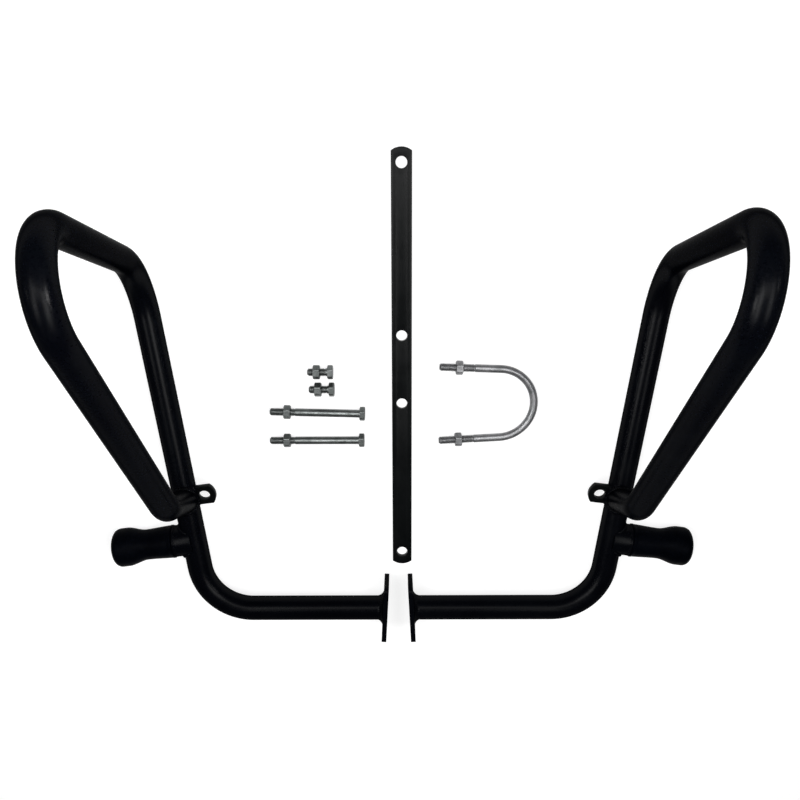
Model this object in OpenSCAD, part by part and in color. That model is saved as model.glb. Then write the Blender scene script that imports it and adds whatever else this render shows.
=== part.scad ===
// Motorcycle crash bars: a mirrored pair of bent-tube bars with the strap, U-bolt and
// bolts that fix them, laid out on a floor as they lie loose before fitting.
// X points to the right, Y towards the top of the layout and Z up from the floor.
// The origin is the middle of the strap, on the floor.

/* [Tube] */
// Outside diameter of the bent tube
tube_d = 25.4; // [24:0.1:28]
// Wall thickness of the tube
tube_wall = 2; // [1.5:0.1:3]
// How much a bend draws in from each of its faces, in the tube and in the U-bolt
bend_draw = 0.06; // [0.04:0.01:0.1]

/* [Route of a bar] */
// From the centre line out to the corner of the lower bend
bar_reach = 207; // [190:1:225]
// Up from the lower tube to the corner of the top bend
main_rise = 362; // [340:1:385]
// How far the main tube leans outwards over that rise
main_lean = 47; // [20:1:60]
// Up from the lower tube to the corner of the crown
crown_rise = 433.5; // [415:0.5:455]
// Out from the lower corner to the corner of the crown
crown_out = 31; // [15:1:50]
// Height of the crown's corner above the plane of the lower tubes
crown_height = 336; // [315:1:355]
// Up from the lower tube to the knee above the leg
knee_rise = 153; // [145:1:165]
// Out from the lower corner to the knee
knee_out = 7; // [0:1:16]
// Height of the knee above the plane of the lower tubes
knee_height = 98; // [85:1:110]
// Up from the lower tube to the foot of the leg on the main tube
leg_rise = 122; // [112:1:130]
// Centre-line radius of the lower bend
lower_bend_r = 55; // [45:1:70]
// Centre-line radius of the top bend
top_bend_r = 63; // [50:1:75]
// Centre-line radius of the crown
crown_bend_r = 48; // [42:1:54]
// Centre-line radius of the knee
knee_bend_r = 36; // [30:1:44]
// From the main tube's axis to where the leg's end is trimmed off square
leg_trim = 4; // [3:0.5:6]

/* [Mounting flanges] */
// Gap between the two flanges, where the engine mount goes
flange_gap = 23; // [18:1:30]
// How far the middle of that gap lies left of the centre line
gap_offset = 4; // [0:0.5:8]
// Thickness of a flange
flange_t = 5; // [4:0.5:7]
// Length of a flange
flange_l = 64; // [60:1:74]
// Depth of a flange
flange_depth = 40; // [36:1:41]
// Radius of a flange's corners
flange_corner_r = 6; // [3:0.5:8]
// Distance between a flange's two bolt holes
flange_hole_pitch = 46; // [44:1:48]
// Angle by which a flange toes in towards its upper end
flange_toe = 3; // [0:0.5:4]
// Leg length of the weld round the tube
weld_leg = 4; // [2:0.5:5]

/* [Strap tabs] */
// Width of a tab
tab_w = 22; // [20:1:26]
// Thickness of a tab
tab_t = 5; // [4:0.5:6]
// From the axis of the main tube to the tab's outer end
tab_reach = 32; // [31:0.5:38]
// From the axis of the main tube to the tab's hole
tab_hole_reach = 20.5; // [19.5:0.5:22]
// Up from the lower tube to the middle of the tab
tab_rise = 127; // [110:1:150]
// Angle of the tab about its own length
tab_tilt = 16; // [0:1:20]

/* [Foot pegs] */
// Up from the lower tube to the peg's foot on the main tube
peg_rise = 80; // [76:1:86]
// From the axis of the main tube to the peg's outer end
peg_reach = 83; // [78:1:100]
// Diameter of the steel stub inside the rubber
stub_d = 22; // [18:1:24]
// Diameter of the collar at the stub's foot
collar_d = 33; // [30:1:36]
// From the axis of the main tube to the collar's outer face
collar_reach = 20; // [17:0.5:22]
// Thickness of the rubber over the stub's end
rubber_end = 6; // [3:0.5:8]
// Diameter of the rubber at its foot
rubber_foot_d = 34; // [32:0.5:36]
// Diameter of the rubber at its waist
rubber_waist_d = 31.5; // [29:0.5:32]
// Diameter of the rubber at its outer end
rubber_end_d = 40; // [38:0.5:40]
// From the axis of the main tube to the waist
waist_reach = 50; // [44:1:54]
// Length of the swell between the waist and the full end
swell_l = 20; // [14:1:22]
// Radius of the rubber's rounded end
rubber_end_r = 7; // [3:0.5:8]

/* [Strap] */
// Distance between the strap's two end holes
strap_span = 400; // [380:1:420]
// Distance between the strap's two middle holes
strap_middle_pitch = 70; // [60:1:80]
// From an end hole to the end of the strap
strap_margin = 14; // [12:0.5:16]
// Width of the strap
strap_w = 20; // [18:0.5:22]
// Thickness of the strap
strap_t = 5; // [4:0.5:6]
// Radius of the shallow curve that ends the strap and the tabs
end_curve_r = 16; // [14:0.5:20]
// Diameter of the holes in the strap and the tabs
strap_hole_d = 11; // [8.5:0.5:12]

/* [U-bolt] */
// Centre-line radius of the bow
bow_r = 36; // [33:0.5:40]
// Length of a straight leg
u_leg_l = 62; // [55:1:75]
// Angle by which each leg splays outwards
u_splay = 2.5; // [0:0.5:4]
// From a leg's end to the middle of its nut
u_nut_setback = 20; // [10:1:30]

/* [Bolts and nuts] */
// Diameter of the U-bolt's rod and of every bolt's shank
bolt_d = 8; // [7.5:0.1:8.2]
// Hexagon of heads and nuts, across the flats
hex_af = 13; // [12.5:0.1:14]
// Thickness of a bolt's head
head_h = 5.5; // [5:0.1:6.5]
// Thickness of a nut
nut_h = 6.8; // [6:0.1:8]
// Radial gap between a nut's bore and its shank
nut_clearance = 0.05; // [0.02:0.01:0.1]
// Radial gap between a bolt and a flange's hole
bolt_hole_clearance = 0.5; // [0.3:0.1:0.8]
// Length of a long bolt under its head
long_bolt_l = 91; // [80:1:100]
// From a long bolt's end to the middle of its nut
long_nut_setback = 17.5; // [8:0.5:25]
// Length of a short bolt under its head
short_bolt_l = 20; // [18:1:25]
// From a short bolt's end to the middle of its nut
short_nut_setback = 9; // [5:0.5:11]

/* [Layout on the floor] */
// From the strap's lower end down to the flanges' upper ends
strap_clearance = 11; // [2:1:30]
// Middle of the U-bolt's bow
u_bolt_at = [98, -35];
// Under-head point of the upper long bolt, and its turn
long_bolt_upper_at = [-43, -45, 1.5];
// Under-head point of the lower long bolt, and its turn
long_bolt_lower_at = [-44, -73.5, 0];
// Under-head point of the upper short bolt, and its turn
short_bolt_upper_at = [-74.5, -1.5, 0];
// Under-head point of the lower short bolt, and its turn
short_bolt_lower_at = [-73.5, -19.5, 0];

/* [Hidden] */
$fn = 72;
// Cutting tools run past the faces they open by this much
past = 1;
// Each straight stretch of a tube or rod runs on this far inside the bends at its ends
lap = 0.3;
left = -1;
right = 1;
paint = [0.06, 0.06, 0.07];
rubber = [0.10, 0.10, 0.12];
zinc = [0.62, 0.63, 0.65];

// Corners of a right-hand bar's route, in the plane of the lower tubes and above it
lower_corner = [bar_reach, 0, 0];
top_corner = [bar_reach + main_lean, main_rise, 0];
crown_corner = [bar_reach + crown_out, crown_rise, crown_height];
knee_corner = [bar_reach + knee_out, knee_rise, knee_height];
main_dir = unit(top_corner - lower_corner);
leg_foot = on_main(leg_rise);
function unit(v) = v / norm(v);
// The point of the main tube's axis at a given rise
function on_main(rise) = lower_corner + main_dir * rise / main_dir.y;
// Where the lower tube of one side meets its flange
function tube_start(side) = [flange_gap / 2 + flange_t + side * -gap_offset, 0, 0];

// The tube's route as a bender reads it, worked out from the corners of one side.
// The lower tube's first stretch starts inside the flange and is trimmed there.
bend_r = [lower_bend_r, top_bend_r, crown_bend_r, knee_bend_r];
function corners(side) = [
    tube_start(side) - [tube_d, 0, 0],
    lower_corner, top_corner, crown_corner, knee_corner, leg_foot
];
// Direction of a stretch, and the angle of the bend that ends it
function heading(c, i) = unit(c[i + 1] - c[i]);
function bend_angle(c, i) = acos(heading(c, i) * heading(c, i + 1));
// Length that the bends at a stretch's start and end take from it
function taken(c, i) = i < 0 || i > 3 ? 0 : bend_r[i] * tan(bend_angle(c, i) / 2);
function stretch(c, i) = norm(c[i + 1] - c[i]) - taken(c, i - 1) - taken(c, i);
// The side that a bend turns to, before and after it
function side_before(c, i) =
    let (u = heading(c, i), w = heading(c, i + 1)) unit(w - (w * u) * u);
function side_after(c, i) =
    let (u = heading(c, i), w = heading(c, i + 1)) unit((w * u) * w - u);
// Turn of the tube in the bender between one bend and the next
function roll(c, i) =
    i == 0 || i > 3 ? 0 : let (a = side_after(c, i - 1), b = side_before(c, i))
        atan2(cross(a, b) * heading(c, i), a * b);

// A bar rests on its peg's rim and on the main tube where the top bend starts
rim_reach = peg_reach - rubber_end_r;
rim_y = peg_rise - rim_reach * main_dir.x;
touch_y = main_rise - taken(corners(1), 1) * main_dir.y;
rest_tilt = atan((rubber_end_d - tube_d) / 2 / (touch_y - rim_y));
rest_height = tube_d / 2 / cos(rest_tilt) + touch_y * tan(rest_tilt);

// The tube's section, with its wall drawn in from both faces
module tube_section(draw) {
    difference() {
        circle(d = tube_d - 2 * draw);
        circle(d = tube_d - 2 * tube_wall + 2 * draw);
    }
}

// Frame at the start of stretch i: z runs along the tube and x to the side it bends to
module at_stretch(c, i) {
    if (i == 0)
        translate(c[0])
            rotate([90, 0, 90])
                children();
    else
        at_stretch(c, i - 1)
            translate([bend_r[i - 1], 0, stretch(c, i - 1)])
                rotate([0, bend_angle(c, i - 1), 0])
                    translate([-bend_r[i - 1], 0, 0])
                        rotate([0, 0, roll(c, i)])
                            children();
}

module straight(c, i) {
    from = i == 0 ? 0 : -lap;
    at_stretch(c, i)
        translate([0, 0, from])
            linear_extrude(stretch(c, i) + lap - from)
                tube_section(0);
}

// The bend that ends stretch i
module bend(c, i) {
    at_stretch(c, i)
        translate([bend_r[i], 0, stretch(c, i)])
            mirror([1, 0, 0])
                rotate([90, 0, 0])
                    rotate_extrude(angle = bend_angle(c, i))
                        translate([bend_r[i], 0])
                            tube_section(bend_draw);
}

// The leg from the knee, coped to sit half-way into the wall of the main tube
module leg(c) {
    difference() {
        at_stretch(c, 4)
            translate([0, 0, -lap])
                linear_extrude(stretch(c, 4) + lap - leg_trim)
                    tube_section(0);
        at_stretch(c, 1)
            cylinder(h = stretch(c, 1), d = tube_d - tube_wall);
    }
}

// The main tube's outside as a solid rod, for what is cut to fit on it
module main_rod() {
    on_main_tube(0)
        rotate([-90, 0, 0])
            cylinder(h = norm(top_corner - lower_corner), d = tube_d);
}

// The leg's outside as a solid rod
module leg_rod() {
    c = corners(right);
    at_stretch(c, 4)
        cylinder(h = stretch(c, 4) - leg_trim, d = tube_d);
}

// The lower tube's outside as a solid rod
module lower_rod(side) {
    translate(corners(side)[0])
        rotate([0, 90, 0])
            cylinder(h = bar_reach / 2, d = tube_d);
}

// Frame of a flange: its outer face is at x = 0, on the end of the lower tube
module at_flange(side) {
    translate(tube_start(side))
        rotate([0, 0, flange_toe])
            children();
}

// Room for all that lies inside a flange's outer face
module inside_flange(side) {
    at_flange(side)
        translate([-3 * tube_d, -tube_d, -tube_d])
            cube([3 * tube_d, 2 * tube_d, 2 * tube_d]);
}

module bar_tube(side) {
    c = corners(side);
    difference() {
        union() {
            for (i = [0 : 3]) {
                straight(c, i);
                bend(c, i);
            }
            leg(c);
        }
        inside_flange(side);
    }
}

module bar_flange(side) {
    at_flange(side)
        rotate([90, 0, -90])
            linear_extrude(flange_t)
                difference() {
                    rounded_rectangle(flange_l, flange_depth, flange_corner_r);
                    for (end = [-1, 1])
                        translate([end * flange_hole_pitch / 2, 0])
                            circle(d = bolt_d + 2 * bolt_hole_clearance);
                }
    difference() {
        at_flange(side)
            rotate([0, 90, 0])
                cylinder(h = weld_leg, d1 = tube_d + 2 * weld_leg, d2 = tube_d);
        lower_rod(side);
    }
}

module rounded_rectangle(length, width, corner_r) {
    square([length - 2 * corner_r, width], center = true);
    square([length, width - 2 * corner_r], center = true);
    for (x = [-1, 1], y = [-1, 1])
        translate([x * (length / 2 - corner_r), y * (width / 2 - corner_r)])
            circle(r = corner_r);
}

// Frame on the main tube: x points out from the bike, y along the tube
module on_main_tube(rise) {
    translate(on_main(rise))
        rotate([0, 0, -atan2(main_dir.x, main_dir.y)])
            children();
}

// Flat bar along x whose far end is a shallow curve
module flat_bar_end(length, width) {
    intersection() {
        translate([0, -width / 2])
            square([length, width]);
        union() {
            translate([length - end_curve_r, 0])
                circle(r = end_curve_r);
            translate([0, -width / 2])
                square([length - end_curve_r, width]);
        }
    }
}

module bar_tab() {
    difference() {
        on_main_tube(tab_rise)
            rotate([0, 0, 180])
                rotate([-tab_tilt, 0, 0])
                    translate([0, 0, -tab_t / 2])
                        linear_extrude(tab_t)
                            difference() {
                                flat_bar_end(tab_reach, tab_w);
                                translate([tab_hole_reach, 0])
                                    circle(d = strap_hole_d);
                            }
        main_rod();
        leg_rod();
    }
}

module peg_stub() {
    difference() {
        on_main_tube(peg_rise)
            rotate([0, 90, 0]) {
                cylinder(h = peg_reach - rubber_end, d = stub_d);
                cylinder(h = collar_reach, d = collar_d);
            }
        main_rod();
    }
}

// Smooth step from 0 to 1 as x runs from a to b
function ease(x, a, b) = let (t = max(0, min(1, (x - a) / (b - a)))) t * t * (3 - 2 * t);
// Radius of the rubber at a distance from the main tube's axis
function rubber_r(x) =
    rubber_waist_d / 2
    + (rubber_foot_d - rubber_waist_d) / 2 * (1 - ease(x, collar_reach, waist_reach))
    + (rubber_end_d - rubber_waist_d) / 2 * ease(x, waist_reach, waist_reach + swell_l);

module peg_rubber() {
    side_steps = 20;
    end_steps = 8;
    shoulder = peg_reach - rubber_end_r;
    outline = [
        for (i = [0 : side_steps])
            let (x = collar_reach + (shoulder - collar_reach) * i / side_steps) [rubber_r(x), x],
        for (i = [1 : end_steps])
            let (a = 90 * i / end_steps)
                [rubber_end_d / 2 - rubber_end_r * (1 - cos(a)), shoulder + rubber_end_r * sin(a)],
        [0, peg_reach],
        [0, peg_reach - rubber_end],
        [stub_d / 2, peg_reach - rubber_end],
        [stub_d / 2, collar_reach]
    ];
    on_main_tube(peg_rise)
        rotate([0, 90, 0])
            rotate_extrude()
                polygon(outline);
}

// From the strap's middle down to the lower tubes
bar_drop = strap_span / 2 + strap_margin + strap_clearance + flange_l / 2;

// Lays a right-hand bar, or its mirror image on the left, on the floor
module lay_bar(side) {
    translate([0, -bar_drop, rest_height])
        rotate([-rest_tilt, 0, 0])
            scale_side(side)
                children();
}

module scale_side(side) {
    if (side == left)
        mirror([1, 0, 0])
            children();
    else
        children();
}

module centre_strap() {
    half = strap_span / 2 + strap_margin;
    color(paint)
        linear_extrude(strap_t)
            difference() {
                for (turn = [90, 270])
                    rotate(turn)
                        flat_bar_end(half, strap_w);
                for (y = [strap_span / 2, strap_middle_pitch / 2], end = [-1, 1])
                    translate([0, end * y])
                        circle(d = strap_hole_d);
            }
}

// A hexagon along z with its corners turned down at the far face and two flats square to x
module hexagon(height) {
    corner_d = hex_af / cos(30);
    turn_down = (corner_d - hex_af) / 2 * tan(30);
    intersection() {
        rotate(30)
            cylinder(h = height, d = corner_d, $fn = 6);
        union() {
            cylinder(h = height - turn_down, d = corner_d);
            translate([0, 0, height - turn_down])
                cylinder(h = turn_down, d1 = corner_d, d2 = hex_af);
        }
    }
}

// A shank along z with a chamfered end
module shank(length) {
    chamfer = bolt_d / 8;
    cylinder(h = length - chamfer, d = bolt_d);
    translate([0, 0, length - chamfer])
        cylinder(h = chamfer, d1 = bolt_d, d2 = bolt_d - 2 * chamfer);
}

// A nut round z, with its middle at the origin and both faces turned down
module nut() {
    difference() {
        intersection() {
            translate([0, 0, -nut_h / 2])
                hexagon(nut_h);
            mirror([0, 0, 1])
                translate([0, 0, -nut_h / 2])
                    hexagon(nut_h);
        }
        cylinder(h = nut_h + 2 * past, d = bolt_d + 2 * nut_clearance, center = true);
    }
}

// Frame of a loose bolt: z runs from under the head along the shank, flats on the floor
module at_bolt(at) {
    translate([at.x, at.y, hex_af / 2])
        rotate([0, 0, -at.z])
            rotate([0, -90, 0])
                children();
}

module bolt(at, length) {
    color(zinc)
        at_bolt(at) {
            shank(length);
            mirror([0, 0, 1])
                hexagon(head_h);
        }
}

module bolt_nut(at, length, nut_setback) {
    color(zinc)
        at_bolt(at)
            translate([0, 0, length - nut_setback])
                nut();
}

// The U-bolt rests on the lower faces of its nuts and on its bow
u_nut_x = -(u_leg_l - u_nut_setback) * cos(u_splay);
u_bow_half_t = bolt_d / 2 - bend_draw;
u_tilt = asin((hex_af / 2 - u_bow_half_t) / (bow_r - u_nut_x - nut_h / 2));
u_height = u_bow_half_t + bow_r * sin(u_tilt);

module lay_u_bolt() {
    translate([u_bolt_at.x, u_bolt_at.y, u_height])
        rotate([0, u_tilt, 0])
            children();
}

// Frame of a leg: z runs from the bow to the leg's end
module at_leg(end) {
    rotate([0, 0, -end * u_splay])
        translate([0, end * bow_r, 0])
            rotate([0, -90, 0])
                children();
}

module u_bolt() {
    color(zinc)
        lay_u_bolt() {
            rotate([0, 0, u_splay - 90])
                rotate_extrude(angle = 180 - 2 * u_splay)
                    translate([bow_r, 0])
                        circle(r = u_bow_half_t);
            for (end = [-1, 1])
                at_leg(end)
                    translate([0, 0, -lap])
                        shank(u_leg_l + lap);
        }
}

module u_bolt_nut(end) {
    color(zinc)
        lay_u_bolt()
            at_leg(end)
                translate([0, 0, u_leg_l - u_nut_setback])
                    nut();
}

module left_tube() { color(paint) lay_bar(left) bar_tube(left); }
module left_flange() { color(paint) lay_bar(left) bar_flange(left); }
module left_tab() { color(paint) lay_bar(left) bar_tab(); }
module left_peg_stub() { color(paint) lay_bar(left) peg_stub(); }
module left_peg_rubber() { color(rubber) lay_bar(left) peg_rubber(); }
module right_tube() { color(paint) lay_bar(right) bar_tube(right); }
module right_flange() { color(paint) lay_bar(right) bar_flange(right); }
module right_tab() { color(paint) lay_bar(right) bar_tab(); }
module right_peg_stub() { color(paint) lay_bar(right) peg_stub(); }
module right_peg_rubber() { color(rubber) lay_bar(right) peg_rubber(); }
module u_bolt_upper_nut() { u_bolt_nut(1); }
module u_bolt_lower_nut() { u_bolt_nut(-1); }
module upper_long_bolt() { bolt(long_bolt_upper_at, long_bolt_l); }
module upper_long_nut() { bolt_nut(long_bolt_upper_at, long_bolt_l, long_nut_setback); }
module lower_long_bolt() { bolt(long_bolt_lower_at, long_bolt_l); }
module lower_long_nut() { bolt_nut(long_bolt_lower_at, long_bolt_l, long_nut_setback); }
module upper_short_bolt() { bolt(short_bolt_upper_at, short_bolt_l); }
module upper_short_nut() { bolt_nut(short_bolt_upper_at, short_bolt_l, short_nut_setback); }
module lower_short_bolt() { bolt(short_bolt_lower_at, short_bolt_l); }
module lower_short_nut() { bolt_nut(short_bolt_lower_at, short_bolt_l, short_nut_setback); }

left_tube();
left_flange();
left_tab();
left_peg_stub();
left_peg_rubber();
right_tube();
right_flange();
right_tab();
right_peg_stub();
right_peg_rubber();
centre_strap();
u_bolt();
u_bolt_upper_nut();
u_bolt_lower_nut();
upper_long_bolt();
upper_long_nut();
lower_long_bolt();
lower_long_nut();
upper_short_bolt();
upper_short_nut();
lower_short_bolt();
lower_short_nut();
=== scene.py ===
import math

import bmesh
import bpy
from mathutils import Matrix, Vector


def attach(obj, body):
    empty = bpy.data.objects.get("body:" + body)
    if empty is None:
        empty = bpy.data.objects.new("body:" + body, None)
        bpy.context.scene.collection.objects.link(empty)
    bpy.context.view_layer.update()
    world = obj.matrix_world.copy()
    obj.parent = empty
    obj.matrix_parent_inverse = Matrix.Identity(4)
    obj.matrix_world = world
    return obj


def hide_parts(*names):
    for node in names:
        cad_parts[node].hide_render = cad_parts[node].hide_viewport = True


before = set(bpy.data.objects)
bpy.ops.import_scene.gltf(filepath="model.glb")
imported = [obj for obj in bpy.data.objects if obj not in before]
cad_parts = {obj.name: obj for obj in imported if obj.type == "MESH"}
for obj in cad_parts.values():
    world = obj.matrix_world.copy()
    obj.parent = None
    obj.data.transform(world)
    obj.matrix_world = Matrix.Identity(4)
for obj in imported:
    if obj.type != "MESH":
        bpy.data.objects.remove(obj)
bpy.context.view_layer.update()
print("frame loaded:", len(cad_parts), "nodes")


def placeObject(name, data):
    thing = bpy.data.objects.new(name, data)
    bpy.context.scene.collection.objects.link(thing)
    return thing


# Camera

camera = {
    "place": (-0.0019, 0.1923, 0.784),
    "tilt": -16.0,  # degrees, so that it looks a little towards the flanges
    "roll": -0.15,
    "lens": 36.0,
    "sensor": 36.0,
    "nearest": 0.01,
}


def makeCamera():
    data = bpy.data.cameras.new("camera")
    data.lens = camera["lens"]
    data.sensor_width = camera["sensor"]
    data.clip_start = camera["nearest"]
    body = placeObject("camera", data)
    body.location = camera["place"]
    turn = Matrix.Rotation(math.radians(camera["roll"]), 4, "Z")
    body.rotation_euler = (Matrix.Rotation(math.radians(camera["tilt"]), 4, "X") @ turn).to_euler()
    bpy.context.scene.camera = body


makeCamera()

# Shader helpers


def emptyTree(owner):
    owner.use_nodes = True
    owner.node_tree.nodes.clear()
    return owner.node_tree


def newMaterial(name):
    mat = bpy.data.materials.new(name)
    tree = emptyTree(mat)
    out = tree.nodes.new("ShaderNodeOutputMaterial")
    shader = tree.nodes.new("ShaderNodeBsdfPrincipled")
    tree.links.new(shader.outputs[0], out.inputs[0])
    return mat, tree, shader


def addNode(tree, kind, **values):
    node = tree.nodes.new(kind)
    for key, value in values.items():
        if key in node.inputs:
            node.inputs[key].default_value = value
        else:
            setattr(node, key, value)
    return node


def newGroup(name, takes, gives):
    tree = bpy.data.node_groups.new(name, "ShaderNodeTree")
    for socket, value in takes.items():
        taken = tree.interface.new_socket(socket, in_out="INPUT", socket_type="NodeSocketFloat")
        taken.default_value = value
    tree.interface.new_socket(gives, in_out="OUTPUT", socket_type="NodeSocketFloat")
    return tree, tree.nodes.new("NodeGroupInput"), tree.nodes.new("NodeGroupOutput")


def placeGroup(tree, group, **values):
    node = tree.nodes.new("ShaderNodeGroup")
    node.node_tree = group
    for key, value in values.items():
        node.inputs[key].default_value = value
    return node


def rampOver(tree, source, low, high, darkest=0.0, lightest=1.0):
    span = addNode(tree, "ShaderNodeMapRange", interpolation_type="SMOOTHSTEP")
    for socket, value in (("From Min", low), ("From Max", high), ("To Min", darkest), ("To Max", lightest)):
        span.inputs[socket].default_value = value
    tree.links.new(source, span.inputs["Value"])
    return span.outputs["Result"]


def mixColours(tree, factor, first, second):
    mix = tree.nodes.new("ShaderNodeMix")
    mix.data_type = "RGBA"
    tree.links.new(factor, mix.inputs["Factor"])
    for socket, colour in (("A", first), ("B", second)):
        target = [s for s in mix.inputs if s.name == socket and s.type == "RGBA"][0]
        if isinstance(colour, tuple):
            target.default_value = (*colour, 1)
        else:
            tree.links.new(colour, target)
    return [s for s in mix.outputs if s.type == "RGBA"][0]


# Shared surface effects


def cloudGroup():  # broad soft clouds and finer mottling in one mask
    tree, takes, gives = newGroup("clouds", {"Scale": 12.0, "Fine Scale": 90.0, "Fine Share": 0.35}, "Mask")
    place = tree.nodes.new("ShaderNodeTexCoord")
    broad = addNode(tree, "ShaderNodeTexNoise", Detail=3.0, Roughness=0.55)
    fine = addNode(tree, "ShaderNodeTexNoise", Detail=4.0, Roughness=0.6)
    mix = tree.nodes.new("ShaderNodeMix")
    for noise, scale in ((broad, "Scale"), (fine, "Fine Scale")):
        tree.links.new(place.outputs["Object"], noise.inputs["Vector"])
        tree.links.new(takes.outputs[scale], noise.inputs["Scale"])
    tree.links.new(takes.outputs["Fine Share"], mix.inputs[0])
    tree.links.new(broad.outputs[0], mix.inputs[2])
    tree.links.new(fine.outputs[0], mix.inputs[3])
    tree.links.new(mix.outputs[0], gives.inputs["Mask"])
    return tree


def edgeRubGroup():  # edges that hands have rubbed: there the bevelled normal departs from the true one
    tree, takes, gives = newGroup("edgeRub", {"Width": 0.0006, "Scale": 260.0, "Amount": 0.5}, "Mask")
    place = tree.nodes.new("ShaderNodeTexCoord")
    true = tree.nodes.new("ShaderNodeNewGeometry")
    softened = addNode(tree, "ShaderNodeBevel", samples=4)
    turn = addNode(tree, "ShaderNodeVectorMath", operation="DOT_PRODUCT")
    spots = addNode(tree, "ShaderNodeTexNoise", Detail=5.0, Roughness=0.7)
    both = addNode(tree, "ShaderNodeMath", operation="MULTIPLY")
    scaled = addNode(tree, "ShaderNodeMath", operation="MULTIPLY")
    tree.links.new(takes.outputs["Width"], softened.inputs["Radius"])
    tree.links.new(softened.outputs[0], turn.inputs[0])
    tree.links.new(true.outputs["Normal"], turn.inputs[1])
    tree.links.new(place.outputs["Object"], spots.inputs["Vector"])
    tree.links.new(takes.outputs["Scale"], spots.inputs["Scale"])
    edge = rampOver(tree, turn.outputs["Value"], 0.999, 0.93)
    tree.links.new(edge, both.inputs[0])
    tree.links.new(rampOver(tree, spots.outputs[0], 0.46, 0.62), both.inputs[1])
    tree.links.new(both.outputs[0], scaled.inputs[0])
    tree.links.new(takes.outputs["Amount"], scaled.inputs[1])
    tree.links.new(scaled.outputs[0], gives.inputs["Mask"])
    return tree


def skinGroup():  # the height of a sprayed or moulded skin
    tree, takes, gives = newGroup("skin", {"Scale": 500.0, "Ripple Scale": 60.0, "Ripple": 0.4}, "Height")
    place = tree.nodes.new("ShaderNodeTexCoord")
    peel = addNode(tree, "ShaderNodeTexNoise", Detail=2.0, Roughness=0.5)
    ripple = addNode(tree, "ShaderNodeTexNoise", Detail=1.0, Roughness=0.4)
    share = addNode(tree, "ShaderNodeMath", operation="MULTIPLY")
    total = addNode(tree, "ShaderNodeMath", operation="ADD")
    for noise, scale in ((peel, "Scale"), (ripple, "Ripple Scale")):
        tree.links.new(place.outputs["Object"], noise.inputs["Vector"])
        tree.links.new(takes.outputs[scale], noise.inputs["Scale"])
    tree.links.new(ripple.outputs[0], share.inputs[0])
    tree.links.new(takes.outputs["Ripple"], share.inputs[1])
    tree.links.new(peel.outputs[0], total.inputs[0])
    tree.links.new(share.outputs[0], total.inputs[1])
    tree.links.new(total.outputs[0], gives.inputs["Height"])
    return tree


clouds, edgeRub, skin = cloudGroup(), edgeRubGroup(), skinGroup()


def addSkin(tree, shader, strength, depth, **values):
    grain = placeGroup(tree, skin, **values)
    bump = addNode(tree, "ShaderNodeBump", Strength=strength, Distance=depth)
    tree.links.new(grain.outputs["Height"], bump.inputs["Height"])
    tree.links.new(bump.outputs[0], shader.inputs["Normal"])


# Finishes. A gloss is the roughness at the glossiest place and at the dullest.

paint = {
    "deep": (0.0004, 0.0006, 0.0016),
    "thin": (0.0012, 0.0016, 0.0028),
    "dust": (0.010, 0.0105, 0.011),
    "rub": (0.030, 0.030, 0.032),
    "gloss": (0.26, 0.37),
    "specular": (0.050, 0.0012),  # seen straight on, and at a slant
    "slant": (0.24, 0.64),  # where the first gives way to the second
}


def fadeShine(tree, shader):  # thick black gloss stays black where it is seen at a slant
    slant = tree.nodes.new("ShaderNodeLayerWeight")
    slant.inputs["Blend"].default_value = 0.5
    shine = rampOver(tree, slant.outputs["Facing"], *paint["slant"], *paint["specular"])
    tree.links.new(shine, shader.inputs["Specular IOR Level"])


def blackPaint():  # gloss enamel on the tubes, the flanges, the pegs' collars and the welds
    mat, tree, shader = newMaterial("blackPaint")
    shade = placeGroup(tree, clouds, **{"Scale": 9.0, "Fine Scale": 70.0, "Fine Share": 0.3})
    dust = placeGroup(tree, clouds, **{"Scale": 26.0, "Fine Scale": 420.0, "Fine Share": 0.5})
    rub = placeGroup(tree, edgeRub, **{"Width": 0.0005, "Scale": 300.0, "Amount": 0.35})
    colour = mixColours(tree, rampOver(tree, shade.outputs[0], 0.35, 0.65), paint["deep"], paint["thin"])
    colour = mixColours(tree, rampOver(tree, dust.outputs[0], 0.56, 0.78, 0.0, 0.22), colour, paint["dust"])
    colour = mixColours(tree, rub.outputs[0], colour, paint["rub"])
    tree.links.new(colour, shader.inputs["Base Color"])
    tree.links.new(rampOver(tree, dust.outputs[0], 0.4, 0.7, *paint["gloss"]), shader.inputs["Roughness"])
    fadeShine(tree, shader)
    addSkin(tree, shader, 0.06, 0.0002, **{"Scale": 380.0, "Ripple Scale": 55.0, "Ripple": 1.6})
    return mat


plateCoat = {
    "deep": (0.0016, 0.0021, 0.0024),
    "thin": (0.0036, 0.0043, 0.0046),
    "rub": (0.05, 0.05, 0.052),
    "gloss": (0.29, 0.39),
    "specular": 0.105,
}


def satinCoat():  # thicker satin coat on the strap and the tabs
    mat, tree, shader = newMaterial("satinCoat")
    shade = placeGroup(tree, clouds, **{"Scale": 14.0, "Fine Scale": 130.0, "Fine Share": 0.4})
    marks = placeGroup(tree, clouds, **{"Scale": 60.0, "Fine Scale": 700.0, "Fine Share": 0.5})
    rub = placeGroup(tree, edgeRub, **{"Width": 0.0007, "Scale": 340.0, "Amount": 0.5})
    patches = rampOver(tree, shade.outputs[0], 0.35, 0.65)
    colour = mixColours(tree, patches, plateCoat["deep"], plateCoat["thin"])
    colour = mixColours(tree, rub.outputs[0], colour, plateCoat["rub"])
    tree.links.new(colour, shader.inputs["Base Color"])
    tree.links.new(rampOver(tree, marks.outputs[0], 0.4, 0.65, *plateCoat["gloss"]), shader.inputs["Roughness"])
    shader.inputs["Specular IOR Level"].default_value = plateCoat["specular"]
    addSkin(tree, shader, 0.25, 0.0002, **{"Scale": 850.0, "Ripple Scale": 120.0, "Ripple": 0.8})
    return mat


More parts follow.
